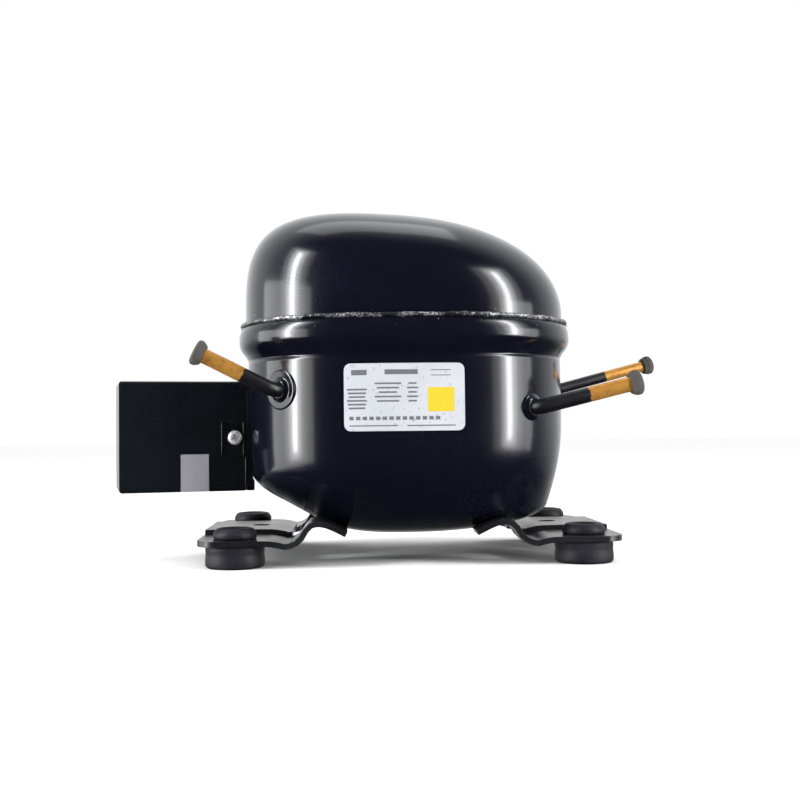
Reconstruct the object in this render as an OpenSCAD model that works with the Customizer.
// Hermetic reciprocating compressor, millimetres, +Z up.
// The origin is the centre of the four mounting holes, on the plane that the grommets stand on.

/* [Mounting] */
// Mounting holes, centre to centre along the length
mount_dx = 165.1; // [162:0.1:168]
// Mounting holes, centre to centre across the length
mount_dy = 101.6; // [98:0.1:105]
// Radius of the bore through a rubber grommet
grommet_bore_r = 5.2; // [4:0.1:6]
// Radius of the thick lower part of a grommet
grommet_r = 14; // [12:0.5:16]
// Height of the foot plate's underside at the grommets
plate_z = 10.6; // [9:0.1:12]
// Thickness of the foot plate
plate_t = 2.7; // [2:0.1:3.5]

/* [Shell] */
// Half the length of the dome at its rim
dome_ax = 80.6; // [79:0.1:82]
// Half the depth of the dome at its rim
dome_ay = 75.2; // [74:0.1:77]
// Height at which the dome starts to close
dome_z = 118; // [116:0.5:119]
// Rise of the dome above that height
dome_h = 54.2; // [53:0.1:58]
// Place of the dome's top along the length
apex_x = -22; // [-26:1:-15]
// Half the length of the lower shell
body_ax = 79.4; // [78.8:0.1:80]
// Half the depth of the lower shell
body_ay = 74; // [73:0.1:75]
// Squareness of the shell in plan, 2 is an ellipse
plan_n = 2.5; // [2.2:0.1:2.8]
// Height of the weld seam
seam_z = 115; // [114:0.5:116]
// Thickness of the drawn steel
wall = 3; // [2.6:0.1:3.2]

/* [Pump] */
// Throw of the crank pin, half the stroke
crank_e = 8.4; // [6:0.1:9]
// Radius of the piston
piston_r = 12.7; // [12:0.1:13]
// Height of the cylinder's axis
cyl_z = 136; // [136:0.1:137]
// Radial running clearance of shafts, piston and slide block
run_gap = 0.03; // [0.02:0.01:0.06]
// Outer radius of the stator
stator_r = 56; // [54:0.5:57]
// Radius of the rotor
rotor_r = 29; // [27:0.5:29.5]
// Height of the bottom of the motor's laminations
stack_z = 41; // [40:0.5:42]
// Height of the motor's laminations
stack_h = 38; // [34:1:38]

/* [Terminal box] */
// Turn of the terminal box about the vertical
box_turn = 13.2; // [10:0.1:18]
// Length of the terminal cover
box_l = 63.3; // [60:0.1:70]
// Width of the terminal cover, front to back
box_w = 44; // [42:1:48]
// Height of the terminal cover
box_h = 54.5; // [50:0.5:56]
// Wall of the terminal cover
box_wall = 2; // [1.6:0.1:2.4]

/* [Label] */
// Width of the rating label
label_w = 54.7; // [50:0.1:58]
// Height of the rating label
label_h = 30.8; // [28:0.1:33]

/* [Hidden] */
$fn = 64;
eps = 0.05;

// Plan and side outlines of the shell
shell_sides = 60;
// lower shell, [fraction of the plan outline, height], down the terminal side
left_profile = [[1, 101], [1, 70], [0.995, 48], [0.97, 37], [0.70, 25], [0.50, 16], [0.28, 11.8], [0, 11.8]];
// lower shell, down the opposite side
right_profile = [
    [1, 101], [1.004, 75], [1.003, 60], [0.98, 46], [0.94, 33], [0.89, 20], [0.40, 12.4], [0, 11.8]
];
// collar, [offset outward, height], from the body up to the lip
collar_out = 4.4;
collar_profile = [
    [0, 98.5], [1.2, 101], [3.4, 103.6], [collar_out, 106.2], [collar_out, 113], [collar_out - 0.6, seam_z]
];
skirt_z = 104.5;
seat_gap = 0.15;
dome_rings = 13;

// Tubes: place on the shell, azimuth of the shell there, direction of the free end,
// radius, painted length, bare length, cap radius, cap thickness
process = [[-60.5, -55.6, 82.8], 227, [-0.895, -0.06, 0.455], 3.5, 12, 19.5, 6.1, 5];
suction = [[57.3, -58.9, 73.6], -51.2, [0.965, 0.03, 0.235], 3.55, 19.5, 19.8, 6, 5.6];
discharge = [[79.2, 12, 84.2], 4, [0.955, 0.17, 0.243], 2.8, 27.5, 22.3, 4.9, 5.5];
tube_bend = 7;
tube_wall = 0.8;
cap_reach = 6;

// Pump levels
shaft_r = 9;
pin_r = 6;
web_z = 116.5;
web_t = 6.4;
pin_top = cyl_z + 6.7;
hub_top = 115.6;
deck_z = 99;
deck_t = 8;
slide_r = 9.5;
slide_wall = 2;
cyl_in = -28;
cyl_face = -53;
head_half = 18;
bolt_at = 14.3;
post_at = 36;
spring_z0 = 29.5;
spring_z1 = 38;
spring_r = 6.4;
pad_r = 7.4;
wire_r = 0.8;

// Terminal box placing
box_at = [-78, -20, 34];
screw_at = [-7.4, 26.5];
clamp_x = [-34.1, -20.2];
clamp_h = 18.6;
box_corner = 1.6;

function mix(a, b, t) = a + (b - a) * t;
function signed_pow(v, p) = sign(v) * pow(abs(v), p);
function plan(a, ax, ay, n = plan_n) = [ax * signed_pow(cos(a), 2 / n), ay * signed_pow(sin(a), 2 / n)];
function cut_corners(p) = [
    p[0],
    for (i = [0 : len(p) - 2]) each [mix(p[i], p[i + 1], 0.25), mix(p[i], p[i + 1], 0.75)],
    p[len(p) - 1]
];
function smooth_line(p, times) = times == 0 ? p : smooth_line(cut_corners(p), times - 1);
left_smooth = smooth_line(left_profile, 1);
right_smooth = smooth_line(right_profile, 1);
function side_mix(a) = (1 - cos(a)) / 2;
function wall_profile(a) =
    [for (i = [0 : len(left_smooth) - 1]) mix(right_smooth[i], left_smooth[i], side_mix(a))];
// a point of the lower shell's outside, at plan angle a and height z
function shell_r(a, z) = lookup(z, [for (q = wall_profile(a)) [q[1], q[0]]]);
function shell_at(a, z, out = 0) =
    let (r = shell_r(a, z), q = plan(a, body_ax * r + out, body_ay * r + out)) [q[0], q[1], z];
function unit(v) = v / norm(v);

// faces between rings of equal length, closed at both ends
function ring_faces(rings, sides) = [
    for (i = [0 : rings - 2], j = [0 : sides - 1])
        let (a = i * sides + j, b = i * sides + (j + 1) % sides)
        each [[a, b, b + sides], [a, b + sides, a + sides]]
];
function cap_faces(rings, sides) = [
    [for (j = [sides - 1 : -1 : 0]) j],
    [for (j = [0 : sides - 1]) (rings - 1) * sides + j]
];
module skin(rings, closed = false) {
    sides = len(rings[0]);
    count = len(rings);
    loop = [for (j = [0 : sides - 1])
        let (a = (count - 1) * sides + j, b = (count - 1) * sides + (j + 1) % sides, d = (j + 1) % sides)
        each [[a, b, d], [a, d, j]]];
    ends = closed ? loop : cap_faces(count, sides);
    polyhedron([for (r = rings) each r], concat(ring_faces(count, sides), ends));
}
// a round bar along a path that never runs vertically
module sweep(path, r, sides, closed = false) {
    last = len(path) - 1;
    skin([for (i = [0 : last])
        let (
            before = closed ? path[(i + last) % (last + 1)] : path[max(i - 1, 0)],
            after = closed ? path[(i + 1) % (last + 1)] : path[min(i + 1, last)],
            t = unit(after - before),
            u = unit(cross(t, [0, 0, 1])),
            v = cross(u, t),
            bar = is_list(r) ? r[i] : r
        )
        [for (j = [0 : sides - 1]) path[i] + bar * (cos(360 * j / sides) * u - sin(360 * j / sides) * v)]],
        closed);
}

// outside of the lower shell as one solid, drawn in by inset
module lower_solid(inset = 0, top = seam_z) {
    count = len(left_smooth) - 1;
    skin([
        for (i = [count - 1 : -1 : 0])
            [for (j = [0 : shell_sides - 1])
                let (
                    a = -360 * j / shell_sides,
                    q = wall_profile(a)[i],
                    side_inset = inset * min(1, q[0] * 3),
                    p = plan(a, body_ax * q[0] - side_inset, body_ay * q[0] - side_inset)
                )
                [p[0], p[1], q[1] + inset * pow(max(0, 1 - q[0]), 0.35)]],
        [for (j = [0 : shell_sides - 1])
            let (p = plan(-360 * j / shell_sides, body_ax - inset, body_ay - inset)) [p[0], p[1], top]]
    ]);
}
module collar_ring() {
    skin([
        for (q = collar_profile)
            [for (j = [0 : shell_sides - 1])
                let (p = plan(-360 * j / shell_sides, body_ax + q[0], body_ay + q[0])) [p[0], p[1], q[1]]]
    ]);
}
module dome_solid(inset = 0, bottom = skirt_z) {
    function ring(k, j) = let (
        a = -360 * j / shell_sides,
        rim = plan(a, dome_ax - inset, dome_ay - inset),
        away = rim - [apex_x, 0],
        p = 2.85 - 0.65 * away[0] / norm(away),
        t = 90 * k / dome_rings,
        flat = k == dome_rings ? 0.02 : pow(cos(t), 2 / p),
        q = [apex_x, 0] + away * flat
    ) [q[0], q[1], dome_z + (dome_h - inset) * pow(sin(t), 2 / p)];
    skin([
        [for (j = [0 : shell_sides - 1])
            let (p = plan(-360 * j / shell_sides, dome_ax - inset, dome_ay - inset)) [p[0], p[1], bottom]],
        for (k = [0 : dome_rings]) [for (j = [0 : shell_sides - 1]) ring(k, j)]
    ]);
}

module tube_hole(spec) {
    translate(spec[0]) rotate([0, 90, spec[1]]) cylinder(h = 30, r = spec[3] + eps, center = true);
}
module lower_shell() {
    color([0.05, 0.05, 0.08])
    difference() {
        union() {
            lower_solid(0, 103);
            collar_ring();
        }
        lower_solid(wall, seam_z + 1);
        translate([0, 0, skirt_z - 0.1]) linear_extrude(20)
            polygon([for (j = [0 : shell_sides - 1])
                plan(360 * j / shell_sides, dome_ax + seat_gap, dome_ay + seat_gap)]);
        for (s = [process, suction, discharge]) tube_hole(s);
        at_terminal() cylinder(h = 20, r = terminal_r + eps, center = true);
    }
}
module upper_shell() {
    color([0.05, 0.05, 0.08])
    difference() {
        dome_solid(0, skirt_z);
        dome_solid(wall, skirt_z - 1);
    }
}
module weld_bead() {
    sides = 90;
    out = 1.75;
    bead_z = seam_z + 1.1;
    bead_r = 1.5;
    color([0.12, 0.12, 0.15])
    sweep(
        [for (j = [0 : sides - 1])
            let (a = 360 * j / sides, p = plan(a, dome_ax + out, dome_ay + out))
            [p[0], p[1], bead_z + 0.25 * sin(a * 23)]],
        [for (j = [0 : sides - 1]) bead_r + 0.18 * sin(j * 140)], 8, true);
}

// Feet: centre line of the sheet, [distance out, height], from the outer edge inward
foot_out = 99.7;
foot_in = 31;
foot_line = [
    [foot_out, plate_z], [68, plate_z], [63, plate_z - 0.6], [57.5, 8.6], [51, 11.5],
    [47, 18.2], [43.5, 19.2], [39, 18.2], [foot_in, 14.2]
];
function sheet(line, t) = concat(
    line,
    [for (i = [len(line) - 1 : -1 : 0])
        let (
            d = line[min(i + 1, len(line) - 1)] - line[max(i - 1, 0)],
            n = unit([d[1], -d[0]])
        ) line[i] + t * n]
);
module foot_profile(lift) {
    rotate([90, 0, 0]) linear_extrude(140, center = true)
        translate([0, lift]) polygon(sheet(smooth_line(foot_line, 1), plate_t));
}
module foot_plan(gap, reach) {
    corner = 11;
    notch = 5;
    notch_x = 52;
    difference() {
        hull() for (s = [-1, 1]) {
            translate([foot_out - corner, s * (reach - corner)]) circle(corner, $fn = 32);
            translate([foot_in, s * (reach - 8)]) circle(4, $fn = 24);
        }
        hull() {
            translate([20, 0]) square([20, 2 * gap], center = true);
            for (s = [-1, 1]) translate([notch_x, s * (gap - 8)]) circle(notch, $fn = 24);
        }
    }
}
module foot_plate(gap) {
    reach = 66;
    rib = 25;
    rib_lift = 2.1;
    rib_x = 82;
    tall = 60;
    difference() {
        union() {
            intersection() {
                foot_profile(0);
                difference() {
                    linear_extrude(tall, center = true) foot_plan(gap, reach);
                    translate([rib_x, 0, 0]) cube([50, 2 * rib, tall], center = true);
                }
            }
            intersection() {
                foot_profile(rib_lift);
                linear_extrude(tall, center = true) foot_plan(gap, reach);
                translate([rib_x, 0, 0]) cube([50 + eps, 2 * rib + 2, tall], center = true);
            }
        }
        for (s = [-1, 1]) translate([mount_dx / 2, s * mount_dy / 2, 0])
            cylinder(h = tall, r = grommet_neck_r + 0.1, center = true);
        translate([74, 0, 0]) cylinder(h = tall, r = 4.5, center = true);
    }
}
module left_foot_plate() {
    color([0.08, 0.08, 0.09]) mirror([1, 0, 0]) foot_plate(30);
}
module right_foot_plate() {
    color([0.08, 0.08, 0.09]) foot_plate(45);
}

grommet_neck_r = 8.6;
grommet_lip_r = 10.3;
grommet_h = 18.4;
module grommet() {
    under = plate_z - eps;
    over = plate_z + plate_t + eps;
    color([0.13, 0.13, 0.15])
    rotate_extrude() polygon([
        [grommet_bore_r, 0], [grommet_r - 0.9, 0], [grommet_r, 0.9], [grommet_r, plate_z - 1.6],
        [grommet_r - 0.5, under], [grommet_neck_r, under], [grommet_neck_r, over],
        [grommet_lip_r, over], [grommet_lip_r, over + 2.15],
        [grommet_lip_r - 1, grommet_h - 0.9], [grommet_lip_r - 2.6, grommet_h], [grommet_bore_r, grommet_h]
    ]);
}
module front_left_grommet() { translate([-mount_dx / 2, -mount_dy / 2, 0]) grommet(); }
module front_right_grommet() { translate([mount_dx / 2, -mount_dy / 2, 0]) grommet(); }
module rear_left_grommet() { translate([-mount_dx / 2, mount_dy / 2, 0]) grommet(); }
module rear_right_grommet() { translate([mount_dx / 2, mount_dy / 2, 0]) grommet(); }

// A tube leaves the shell square to it, bends once and runs straight to its cap
function local_dir(spec) =
    let (d = unit(spec[2]), c = cos(spec[1]), s = sin(spec[1]))
    [c * d[0] + s * d[1], c * d[1] - s * d[0], d[2]];
function bend_of(spec) = acos(local_dir(spec)[0]);
function roll_of(spec) = atan2(local_dir(spec)[2], local_dir(spec)[1]);
tube_root = 5;
tube_lead = 2.5;
module tube_start(spec) {
    translate(spec[0]) rotate([0, 0, spec[1]]) rotate([roll_of(spec), 0, 0]) children();
}
module tube_end(spec) {
    tube_start(spec) translate([tube_lead, tube_bend, 0]) rotate([0, 0, bend_of(spec)])
        translate([0, -tube_bend, 0]) rotate([0, 90, 0]) children();
}
module pipe(r, h) {
    difference() {
        cylinder(h = h, r = r);
        translate([0, 0, -1]) cylinder(h = h + 2, r = r - tube_wall);
    }
}
module stub_tube(spec) {
    r = spec[3];
    color([0.75, 0.5, 0.2]) {
        tube_start(spec) {
            translate([-tube_root, 0, 0]) rotate([0, 90, 0]) pipe(r, tube_root + tube_lead);
            translate([tube_lead, tube_bend, 0]) rotate_extrude(angle = bend_of(spec), start = -90)
                translate([tube_bend, 0]) difference() {
                    circle(r);
                    circle(r - tube_wall);
                }
        }
        tube_end(spec) pipe(r, spec[4] + spec[5]);
    }
}
module process_tube() { stub_tube(process); }
module suction_tube() { stub_tube(suction); }
module discharge_tube() { stub_tube(discharge); }
module collar(spec, r, t) {
    translate(spec[0]) rotate([0, 0, spec[1]]) rotate([0, 90, 0]) difference() {
        union() {
            translate([0, 0, -1]) cylinder(h = 1 + t, r = r);
            cylinder(h = t + 1.2, r = spec[3] + 1.6);
        }
        cylinder(h = 20, r = spec[3] + eps, center = true);
    }
}
module tube_collars() {
    color([0.07, 0.07, 0.1])
    difference() {
        union() {
            collar(process, 9.1, 1);
            collar(suction, 6.5, 1);
            collar(discharge, 5.6, 1.4);
        }
        lower_solid(-0.02, seam_z);
    }
}
// A rubber plug: a thick head over the tube's end and a stem inside it
module tube_cap(spec) {
    stem = spec[3] - tube_wall - 0.06;
    head_r = spec[6];
    head_t = spec[7];
    color([0.28, 0.27, 0.26])
    tube_end(spec) translate([0, 0, spec[4] + spec[5] + 0.02])
        rotate_extrude() polygon([
            [0, -cap_reach], [stem - 0.54, -cap_reach], [stem, -cap_reach + 1.5],
            [stem, 0], [spec[3] + 0.9, 0], [head_r - 1, 1.1], [head_r, 2.2],
            [head_r, head_t - 0.9], [head_r - 1, head_t], [0, head_t]
        ]);
}
module process_cap() { tube_cap(process); }
module suction_cap() { tube_cap(suction); }
module discharge_cap() { tube_cap(discharge); }

// Electrical side
terminal_z = 60;
terminal_r = 14;
pin_ring = 6.6;
pin_hole_r = 1.25;
module at_terminal() { translate([-body_ax, 0, terminal_z]) rotate([0, -90, 0]) children(); }
module at_pins() { for (k = [0 : 2]) rotate([0, 0, 90 + 120 * k]) translate([pin_ring, 0, 0]) children(); }
module hermetic_terminal() {
    color([0.45, 0.45, 0.47])
    at_terminal() difference() {
        union() {
            translate([0, 0, -6]) cylinder(h = 8, r = terminal_r);
            translate([0, 0, 0.6]) cylinder(h = 1.4, r = terminal_r + 2);
        }
        translate([0, 0, -7]) cylinder(h = 6.5, r = terminal_r - 2);
        at_pins() cylinder(h = 20, r = pin_hole_r, center = true);
    }
}
module terminal_pins() {
    color([0.7, 0.65, 0.5])
    at_terminal() at_pins() translate([0, 0, -12]) cylinder(h = 26, r = 1.15);
}
module in_box() { translate(box_at) rotate([0, 0, box_turn]) children(); }
module rounded_square(l, w, r) {
    translate([r, 0]) square([l - 2 * r, w]);
    translate([0, r]) square([l, w - 2 * r]);
    for (x = [r, l - r], y = [r, w - r]) translate([x, y]) circle(r);
}
// a block from x = -l to 0 with all its long edges and the corners of its left end rounded
module rounded_block(l, w, h, r) {
    intersection() {
        translate([-l, 0, 0]) rotate([90, 0, 90]) linear_extrude(l) rounded_square(w, h, r);
        translate([-l, w, 0]) rotate([90, 0, 0]) linear_extrude(w) rounded_square(l, h, r);
    }
}
module terminal_bracket() {
    inset = box_wall + 0.3;
    sheet_t = 1.6;
    inner_w = box_w - 2 * inset;
    inner_h = box_h - 2 * inset;
    back_x = -16;
    neck_z = 8;
    neck_l = 19;
    flange_x = -1.3;
    flange_t = 3.6;
    color([0.07, 0.07, 0.08])
    difference() {
        in_box() difference() {
            union() {
                translate([back_x, inset, inset]) cube([-back_x, inner_w, inner_h]);
                translate([-1, inset, neck_z]) cube([neck_l, inner_w, inner_h + inset - neck_z]);
                translate([flange_x, 0, 0]) rotate([90, 0, 90])
                    linear_extrude(flange_t) rounded_square(box_w, box_h, box_corner + 1);
            }
            translate([back_x - 1, inset + sheet_t, inset + sheet_t])
                cube([1.5 - back_x, inner_w - 2 * sheet_t, inner_h - 2 * sheet_t]);
            translate([-1, inset + sheet_t, neck_z + sheet_t])
                cube([neck_l + 5, inner_w - 2 * sheet_t, inner_h + inset - neck_z - 2 * sheet_t]);
            translate([screw_at[0], inset, screw_at[1]]) rotate([-90, 0, 0])
                cylinder(h = 10, r = 1.9, center = true);
        }
        lower_solid(-eps, seam_z);
        at_terminal() cylinder(h = 8, r = terminal_r + 2.2, center = true);
    }
}
module start_relay() {
    color([0.12, 0.12, 0.13])
    at_terminal() difference() {
        union() {
            translate([-13, -14, 5]) cube([20, 28, 19]);
            translate([-10, -10, 24]) cube([14, 20, 4]);
            translate([-8, -16, 8]) cube([8, 32, 2]);
        }
        translate([0, 0, 10]) at_pins() cylinder(h = 12, r = pin_hole_r, center = true);
    }
}
module overload_protector() {
    color([0.1, 0.1, 0.11])
    at_terminal() translate([15.8, 0, 5]) {
        cylinder(h = 12, r = 7);
        translate([0, 0, 12]) cylinder(h = 3, r = 5);
        for (s = [-1, 1]) translate([-1, s * 5 - 0.4, 12]) cube([6, 0.8, 8]);
    }
}
cord_r = 4.2;
module terminal_cover() {
    color([0.06, 0.08, 0.1])
    in_box() difference() {
        translate([-1.5, 0, 0]) rounded_block(box_l - 1.5, box_w, box_h, box_corner);
        translate([-box_l + box_wall, box_wall, box_wall])
            cube([box_l + 10, box_w - 2 * box_wall, box_h - 2 * box_wall]);
        // recess and frame around the screw
        translate([-13.4, -1, 17.4]) cube([10, 1.5, 16.6]);
        translate([screw_at[0], 0, screw_at[1]]) rotate([-90, 0, 0]) cylinder(h = 10, r = 2.2, center = true);
        // window that the cord clamp fills, and the lower panel beside it
        translate([clamp_x[0], -1, -1]) cube([clamp_x[1] - clamp_x[0], box_wall + 2, clamp_h + 1]);
        translate([clamp_x[1] - eps, -1, 2]) cube([30, 1.35, clamp_h - 2.5]);
        translate([mix(clamp_x[0], clamp_x[1], 0.5), 15, -1]) cylinder(h = 5, r = cord_r);
    }
}
module cord_clamp() {
    w = clamp_x[1] - clamp_x[0] - 0.2;
    color([0.57, 0.57, 0.6])
    in_box() translate([clamp_x[0] + 0.1, 0, 0]) {
        translate([0, 0.05, 0.3]) cube([w, 1.9, clamp_h - 0.4]);
        translate([0, 2.1, 2.2]) difference() {
            cube([w, 7.5, 5]);
            translate([w / 2, 13 - 0.1, -1]) cylinder(h = 8, r = cord_r + 1.6);
        }
        translate([1, 0.05, 2.2]) cube([w - 2, 3, 4.8]);
    }
}
module cover_screw() {
    color([0.8, 0.8, 0.82])
    in_box() translate([screw_at[0], 0.5, screw_at[1]]) rotate([90, 0, 0]) difference() {
        union() {
            cylinder(h = 1.4, r1 = 3.6, r2 = 3.4);
            translate([0, 0, 1.4]) cylinder(h = 0.8, r1 = 3.4, r2 = 2.3);
            translate([0, 0, -5.5]) cylinder(h = 5.5, r = 1.85);
        }
        for (k = [0, 90]) rotate([0, 0, k + 20]) translate([-2, -0.35, 1]) cube([4, 0.7, 3]);
    }
}
module rating_label() {
    lift = 0.12;
    thick = 0.3;
    corner = 3;
    cols = 18;
    centre = [-3.4, 78.4];
    levels = concat([for (t = [0 : 30 : 90]) -label_h / 2 + corner * (1 - cos(t))], [0],
        [for (t = [90 : -30 : 0]) label_h / 2 - corner * (1 - cos(t))]);
    function half_at(z) = let (over = max(0, abs(z) - label_h / 2 + corner))
        label_w / 2 - corner + sqrt(max(0, corner * corner - over * over));
    // plan angle at which the shell has this x
    function angle_at(x) = 270 + asin(signed_pow(x / body_ax, plan_n / 2));
    function spot(i, z, out) =
        shell_at(angle_at(centre[0] + half_at(z) * (2 * i / cols - 1)), centre[1] + z, out);
    color([0.85, 0.86, 0.88])
    skin([for (z = levels) concat(
        [for (i = [cols : -1 : 0]) spot(i, z, lift + thick)],
        [for (i = [0 : cols]) spot(i, z, lift)]
    )]);
}

// Suspension
module spring_seats() {
    color([0.3, 0.3, 0.32])
    intersection() {
        at_posts() {
            cylinder(h = spring_z0, r = 9.5);
            cylinder(h = spring_z0 + 1.6, r = 4.6);
        }
        lower_solid(wall + eps, seam_z);
    }
}
module suspension_spring(x, y) {
    turns = 3;
    per_turn = 14;
    count = turns * per_turn;
    rise = spring_z1 - spring_z0 - 2 * wire_r;
    color([0.5, 0.5, 0.52])
    translate([x * post_at, y * post_at, spring_z0 + wire_r])
        sweep([for (k = [0 : count])
            let (t = k / count, a = 360 * turns * t)
            [spring_r * cos(a), spring_r * sin(a), rise * (t - 0.03 * sin(720 * t))]],
            wire_r, 6);
}
module front_left_spring() { suspension_spring(-1, -1); }
module front_right_spring() { suspension_spring(1, -1); }
module rear_left_spring() { suspension_spring(-1, 1); }
module rear_right_spring() { suspension_spring(1, 1); }

// Cylinder side
module along_x(from, to, r, z = cyl_z, y = 0) {
    translate([from, y, z]) rotate([0, 90, 0]) cylinder(h = to - from, r = r);
}
module at_posts() { for (x = [-1, 1], y = [-1, 1]) translate([x * post_at, y * post_at, 0]) children(); }
module bolt_circle(from, to, r) {
    for (y = [-1, 1], z = [-1, 1]) along_x(from, to, r, cyl_z + z * bolt_at, y * bolt_at);
}
module cylinder_block() {
    color([0.35, 0.36, 0.38])
    difference() {
        union() {
            translate([0, 0, deck_z]) cylinder(h = deck_t, r = 50);
            translate([0, 0, deck_z - 8]) cylinder(h = hub_top - deck_z + 8, r = 17);
            at_posts() translate([0, 0, stack_z + stack_h + eps])
                cylinder(h = deck_z + deck_t - stack_z - stack_h, r = 6);
            along_x(cyl_face, cyl_in, 19);
            translate([cyl_face, -15, deck_z + 1]) cube([cyl_in - cyl_face, 30, cyl_z - deck_z]);
            translate([cyl_face, -head_half, cyl_z - head_half]) cube([7, 2 * head_half, 2 * head_half]);
        }
        along_x(cyl_face - 1, cyl_in + 1, piston_r + run_gap);
        translate([0, 0, deck_z - 20]) cylinder(h = 60, r = shaft_r + run_gap);
        bolt_circle(cyl_face - 1, cyl_face + 12, 2.1);
        at_posts() translate([0, 0, stack_z + stack_h - 1]) cylinder(h = 24, r = 2.1);
        for (a = [30, 150, 270]) rotate([0, 0, a]) translate([33, 0, deck_z - 1])
            cylinder(h = deck_t + 2, r = 8);
    }
}
module head_slab(x, t) {
    translate([x - t, -head_half, cyl_z - head_half]) cube([t, 2 * head_half, 2 * head_half]);
}
reed_t = 0.3;
plate_x = cyl_face - reed_t;
valve_t = 3;
gasket_t = 0.5;
head_x = plate_x - valve_t - gasket_t;
head_t = 8;
hex_t = 2.6;
suction_port = [6.5, 4];
discharge_port = [-6.5, 4];
module suction_reed() {
    color([0.6, 0.62, 0.66])
    difference() {
        head_slab(cyl_face, reed_t);
        difference() {
            along_x(cyl_face - 2, cyl_face + 1, piston_r - 0.5);
            translate([cyl_face - 3, suction_port[0] - 4, cyl_z - 20]) cube([6, 8, 29]);
        }
        bolt_circle(cyl_face - 2, cyl_face + 1, 2.4);
    }
}
module valve_plate() {
    color([0.5, 0.51, 0.54])
    difference() {
        head_slab(plate_x, valve_t);
        for (p = [suction_port, discharge_port]) along_x(plate_x - 10, plate_x + 1, 2.6, cyl_z + p[1], p[0]);
        bolt_circle(plate_x - 10, plate_x + 1, 2.4);
    }
}
module head_gasket() {
    color([0.25, 0.3, 0.28])
    difference() {
        head_slab(plate_x - valve_t, gasket_t);
        for (s = [-1, 1]) translate([head_x - 1, s * 6.75 - 5.25, cyl_z - 12]) cube([3, 10.5, 24]);
        bolt_circle(head_x - 1, plate_x, 2.4);
    }
}
module cylinder_head() {
    color([0.42, 0.43, 0.45])
    difference() {
        head_slab(head_x, head_t);
        for (s = [-1, 1]) translate([head_x - head_t + 2.4, s * 6.75 - 5.25, cyl_z - 12])
            cube([head_t, 10.5, 24]);
        bolt_circle(head_x - head_t - 1, head_x + 1, 2.4);
        translate([head_x - 3.6, 5, cyl_z - 7]) rotate([-90, 0, 0]) cylinder(h = 20, r = 2.4);
        translate([head_x - 3.6, -25, cyl_z]) rotate([-90, 0, 0]) cylinder(h = 20, r = 1.8);
    }
}
module head_bolts() {
    color([0.55, 0.56, 0.6])
    for (y = [-1, 1], z = [-1, 1]) {
        along_x(head_x - head_t - eps, cyl_face + 11, 2, cyl_z + z * bolt_at, y * bolt_at);
        translate([head_x - head_t - hex_t, y * bolt_at, cyl_z + z * bolt_at]) rotate([0, 90, 0])
            cylinder(h = hex_t - eps, r = 3.5, $fn = 6);
    }
}
reed_root = [plate_x - valve_t - 0.05, discharge_port[0], cyl_z - 9.5];
module discharge_reed() {
    color([0.6, 0.62, 0.66])
    translate(reed_root + [-reed_t, -3.5, 0]) cube([reed_t, 7, 18]);
}
module reed_stop() {
    color([0.5, 0.5, 0.52])
    translate(reed_root + [0, -3.8, 0]) {
        translate([-2.6, 0, -2.4]) cube([0.8, 7.6, 22]);
        translate([-1.9, 0, -2.4]) cube([1.9, 7.6, 2.3]);
    }
}
module suction_muffler() {
    neck_x = head_x - 3.6;
    neck_y = 26;
    neck_z = cyl_z - 7;
    color([0.82, 0.8, 0.72])
    difference() {
        union() {
            translate([cyl_face - 1, 23, 109]) linear_extrude(31) rounded_square(26, 20, 4);
            along_x(neck_x, cyl_face + 1, 3.4, neck_z, neck_y);
            translate([neck_x - 4, neck_y - 4, neck_z - 4]) cube(8);
            translate([neck_x, head_half + 0.1, neck_z]) rotate([-90, 0, 0])
                cylinder(h = neck_y - head_half - 3, r = 3.4);
        }
        translate([cyl_face + 0.6, 24.6, 111]) linear_extrude(27) rounded_square(22.8, 16.8, 3);
        along_x(neck_x, cyl_face + 3, 2.2, neck_z, neck_y);
        translate([neck_x, head_half, neck_z]) rotate([-90, 0, 0]) cylinder(h = neck_y - head_half, r = 2.2);
        translate([-38, 33, 100]) cylinder(h = 15, r = 3);
    }
}
// The discharge line circles the pump and sinks to the tube in the shell, so that it can flex
loop_scale = 0.885;
module shock_loop() {
    from = 200;
    to = 361;
    count = 44;
    start = [head_x - 3.6, -head_half - 0.2, cyl_z];
    finish = discharge[0] - (tube_root + 0.5) * [cos(discharge[1]), sin(discharge[1]), 0];
    function level(t) = mix(cyl_z, finish[2], (1 - cos(180 * t)) / 2);
    path = concat(
        [start, start + [0, -1.5, 0]],
        [for (k = [1 : count - 1])
            let (
                t = k / count,
                a = mix(from, to + 360, t),
                p = plan(a, body_ax * loop_scale, body_ay * loop_scale)
            )
            [p[0], p[1], level(t)]],
        [finish - [2.6, 2.2, 0], finish - [1.3, 0.5, 0], finish]
    );
    color([0.75, 0.5, 0.2]) sweep(path, 1.75, 8);
}

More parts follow.
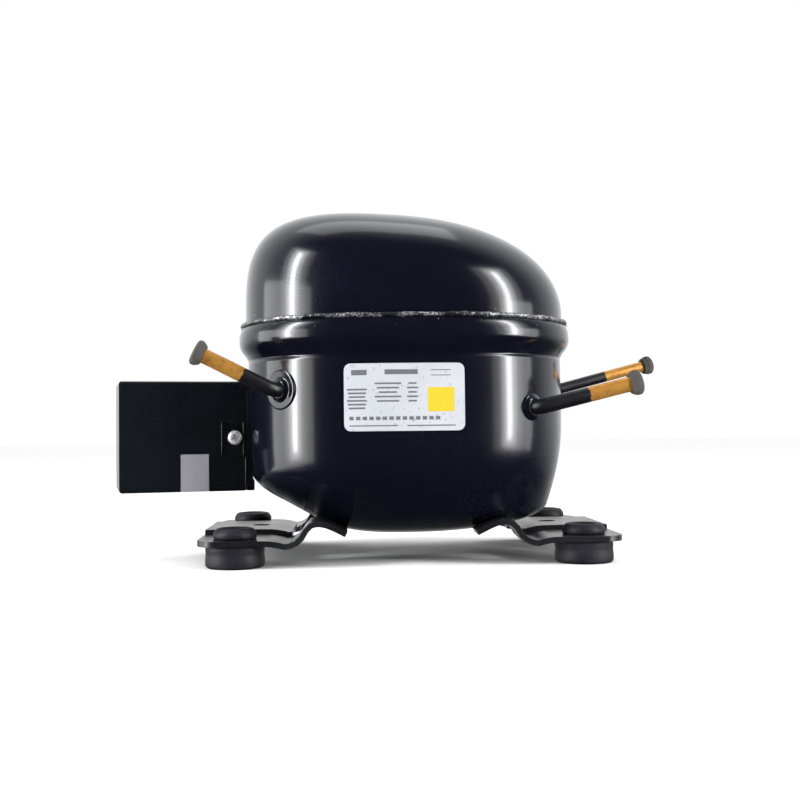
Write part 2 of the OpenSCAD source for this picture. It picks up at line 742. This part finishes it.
// Motor
slots = 24;
module at_slots() { for (k = [0 : slots - 1]) rotate([0, 0, 360 * (k + 0.5) / slots]) children(); }
module stator_core() {
    color([0.4, 0.41, 0.44])
    translate([0, 0, stack_z]) difference() {
        cylinder(h = stack_h, r = stator_r, $fn = 96);
        translate([0, 0, -1]) cylinder(h = stack_h + 2, r = rotor_r + 0.45);
        at_slots() translate([rotor_r - 1, -1.9, -1]) cube([14, 3.8, stack_h + 2]);
        at_posts() translate([0, 0, -1]) cylinder(h = stack_h + 2, r = 2.6);
    }
}
module coil_ring(z0, h) {
    rotate_extrude() translate([0, z0]) polygon([
        [rotor_r + 4, 0], [rotor_r + 12.4, 0], [rotor_r + 14, h * 0.35], [rotor_r + 12.4, h * 0.8],
        [rotor_r + 10, h], [rotor_r + 6, h], [rotor_r + 3, h * 0.7]
    ]);
}
module stator_windings() {
    color([0.7, 0.35, 0.15]) {
        coil_ring(stack_z + stack_h + eps, 10);
        mirror([0, 0, 1]) coil_ring(-stack_z + eps, 9);
        at_slots() translate([rotor_r + 4.5, -1.7, stack_z - 1]) cube([7.5, 3.4, stack_h + 2]);
    }
}
module stator_bolts() {
    color([0.55, 0.56, 0.6])
    at_posts() {
        translate([0, 0, stack_z - 2 * eps]) cylinder(h = stack_h + 20, r = 2);
        translate([0, 0, spring_z1 + eps]) cylinder(h = stack_z - spring_z1 - 2 * eps, r = pad_r);
        translate([0, 0, spring_z1 - 3]) cylinder(h = 4, r = 4.6);
    }
}
module crankshaft() {
    color([0.62, 0.63, 0.66])
    difference() {
        union() {
            translate([0, 0, stack_z - 5]) cylinder(h = web_z - stack_z + 6, r = shaft_r);
            translate([0, 0, web_z]) hull() {
                translate([crank_e, 0, 0]) cylinder(h = web_t, r = pin_r + 3, $fn = 48);
                cylinder(h = web_t, r = 15, $fn = 48);
            }
            translate([0, 0, web_z]) intersection() {
                cylinder(h = web_t, r = 25);
                translate([-26, -26, 0]) cube([24, 52, web_t]);
            }
            translate([crank_e, 0, web_z + 1]) cylinder(h = pin_top - web_z - 1, r = pin_r);
        }
        // oil way up the shaft and out at the crank pin
        translate([2.5, 0, stack_z - 6]) cylinder(h = web_z - stack_z + 8, r = 2);
        translate([crank_e, 0, web_z + 3]) cylinder(h = 40, r = 1.6);
        translate([crank_e / 2, 0, web_z + web_t - plug_t]) cylinder(h = 10, r = plug_r + eps);
    }
}
plug_r = 1.6;
plug_t = 3;
module oil_gallery_plug() {
    color([0.7, 0.6, 0.3])
    translate([crank_e / 2, 0, web_z + web_t - plug_t + 0.1])
        cylinder(h = plug_t - 0.2, r = plug_r - 0.02, $fn = 32);
}
module thrust_washer() {
    color([0.6, 0.5, 0.25])
    translate([0, 0, hub_top + 0.1]) difference() {
        cylinder(h = web_z - hub_top - 0.15, r = 15);
        translate([0, 0, -1]) cylinder(h = 4, r = shaft_r + 0.1);
    }
}
bar_r = 1.7;
module at_bars() { for (a = [0 : 20 : 340]) rotate([0, 0, a]) translate([rotor_r - 4, 0, 0]) children(); }
module rotor_core() {
    color([0.45, 0.46, 0.5])
    translate([0, 0, stack_z]) difference() {
        cylinder(h = stack_h, r = rotor_r);
        translate([0, 0, -1]) cylinder(h = stack_h + 2, r = shaft_r + 0.01);
        at_bars() translate([0, 0, -1]) cylinder(h = stack_h + 2, r = bar_r + 0.1, $fn = 24);
    }
}
module rotor_cage() {
    color([0.75, 0.76, 0.78]) {
        for (z = [stack_z - 4, stack_z + stack_h]) translate([0, 0, z]) difference() {
            cylinder(h = 4, r = rotor_r - 0.6);
            translate([0, 0, -1]) cylinder(h = 6, r = 19);
        }
        at_bars() translate([0, 0, stack_z - 1]) cylinder(h = stack_h + 2, r = bar_r, $fn = 24);
    }
}
module balance_weight() {
    color([0.6, 0.5, 0.3])
    translate([0, 0, stack_z + stack_h + 4 + eps]) intersection() {
        difference() {
            cylinder(h = 6, r = rotor_r - 1.5);
            translate([0, 0, -1]) cylinder(h = 8, r = 20);
        }
        translate([-30, -30, 0]) cube([34, 60, 6]);
    }
}
module oil_pickup() {
    color([0.5, 0.5, 0.53])
    translate([0, 0, stack_z - 5 - eps]) mirror([0, 0, 1]) difference() {
        union() {
            cylinder(h = 5, r1 = 7, r2 = 6);
            translate([0, 0, 5]) cylinder(h = 9, r1 = 6, r2 = 3);
        }
        translate([0, 0, -1]) cylinder(h = 20, r = 1.8);
        cylinder(h = 4, r = 5);
    }
}
// Moving set: the slide block swings with the crank pin inside the slide tube that drives the piston
module slide_block() {
    color([0.66, 0.6, 0.4])
    translate([crank_e, 0, cyl_z]) difference() {
        rotate([90, 0, 0]) cylinder(h = 22, r = slide_r, center = true);
        cylinder(h = 30, r = pin_r + run_gap, center = true);
    }
}
module slide_tube() {
    half = 21;
    slot = pin_r + 0.7;
    color([0.55, 0.56, 0.6])
    translate([crank_e, 0, cyl_z]) difference() {
        rotate([90, 0, 0]) cylinder(h = 2 * half, r = slide_r + slide_wall, center = true);
        rotate([90, 0, 0]) cylinder(h = 2 * half + 2, r = slide_r + run_gap, center = true);
        translate([-slot, -crank_e - slot, -20]) cube([2 * slot, 2 * (crank_e + slot), 20]);
    }
}
module piston() {
    face = cyl_face + 2 * crank_e + 0.3;
    skirt = crank_e - 19.3;
    color([0.66, 0.67, 0.7])
    difference() {
        union() {
            along_x(face, skirt, piston_r);
            along_x(skirt - 1, crank_e - 6, 8);
        }
        translate([crank_e, 0, cyl_z]) rotate([90, 0, 0])
            cylinder(h = 60, r = slide_r + slide_wall + 0.02, center = true);
        for (x = [face + 5, face + 10]) translate([x, 0, cyl_z]) rotate([0, 90, 0]) difference() {
            cylinder(h = 1.2, r = piston_r + 1);
            translate([0, 0, -1]) cylinder(h = 4, r = piston_r - 0.7);
        }
    }
}

lower_shell();
upper_shell();
weld_bead();
left_foot_plate();
right_foot_plate();
front_left_grommet();
front_right_grommet();
rear_left_grommet();
rear_right_grommet();
process_tube();
suction_tube();
discharge_tube();
tube_collars();
process_cap();
suction_cap();
discharge_cap();
hermetic_terminal();
terminal_pins();
terminal_bracket();
start_relay();
overload_protector();
terminal_cover();
cord_clamp();
cover_screw();
rating_label();
spring_seats();
front_left_spring();
front_right_spring();
rear_left_spring();
rear_right_spring();
cylinder_block();
cylinder_head();
head_gasket();
valve_plate();
suction_reed();
discharge_reed();
reed_stop();
head_bolts();
suction_muffler();
shock_loop();
stator_core();
stator_windings();
stator_bolts();
crankshaft();
thrust_washer();
rotor_core();
rotor_cage();
balance_weight();
oil_pickup();
oil_gallery_plug();
slide_block();
slide_tube();
piston();
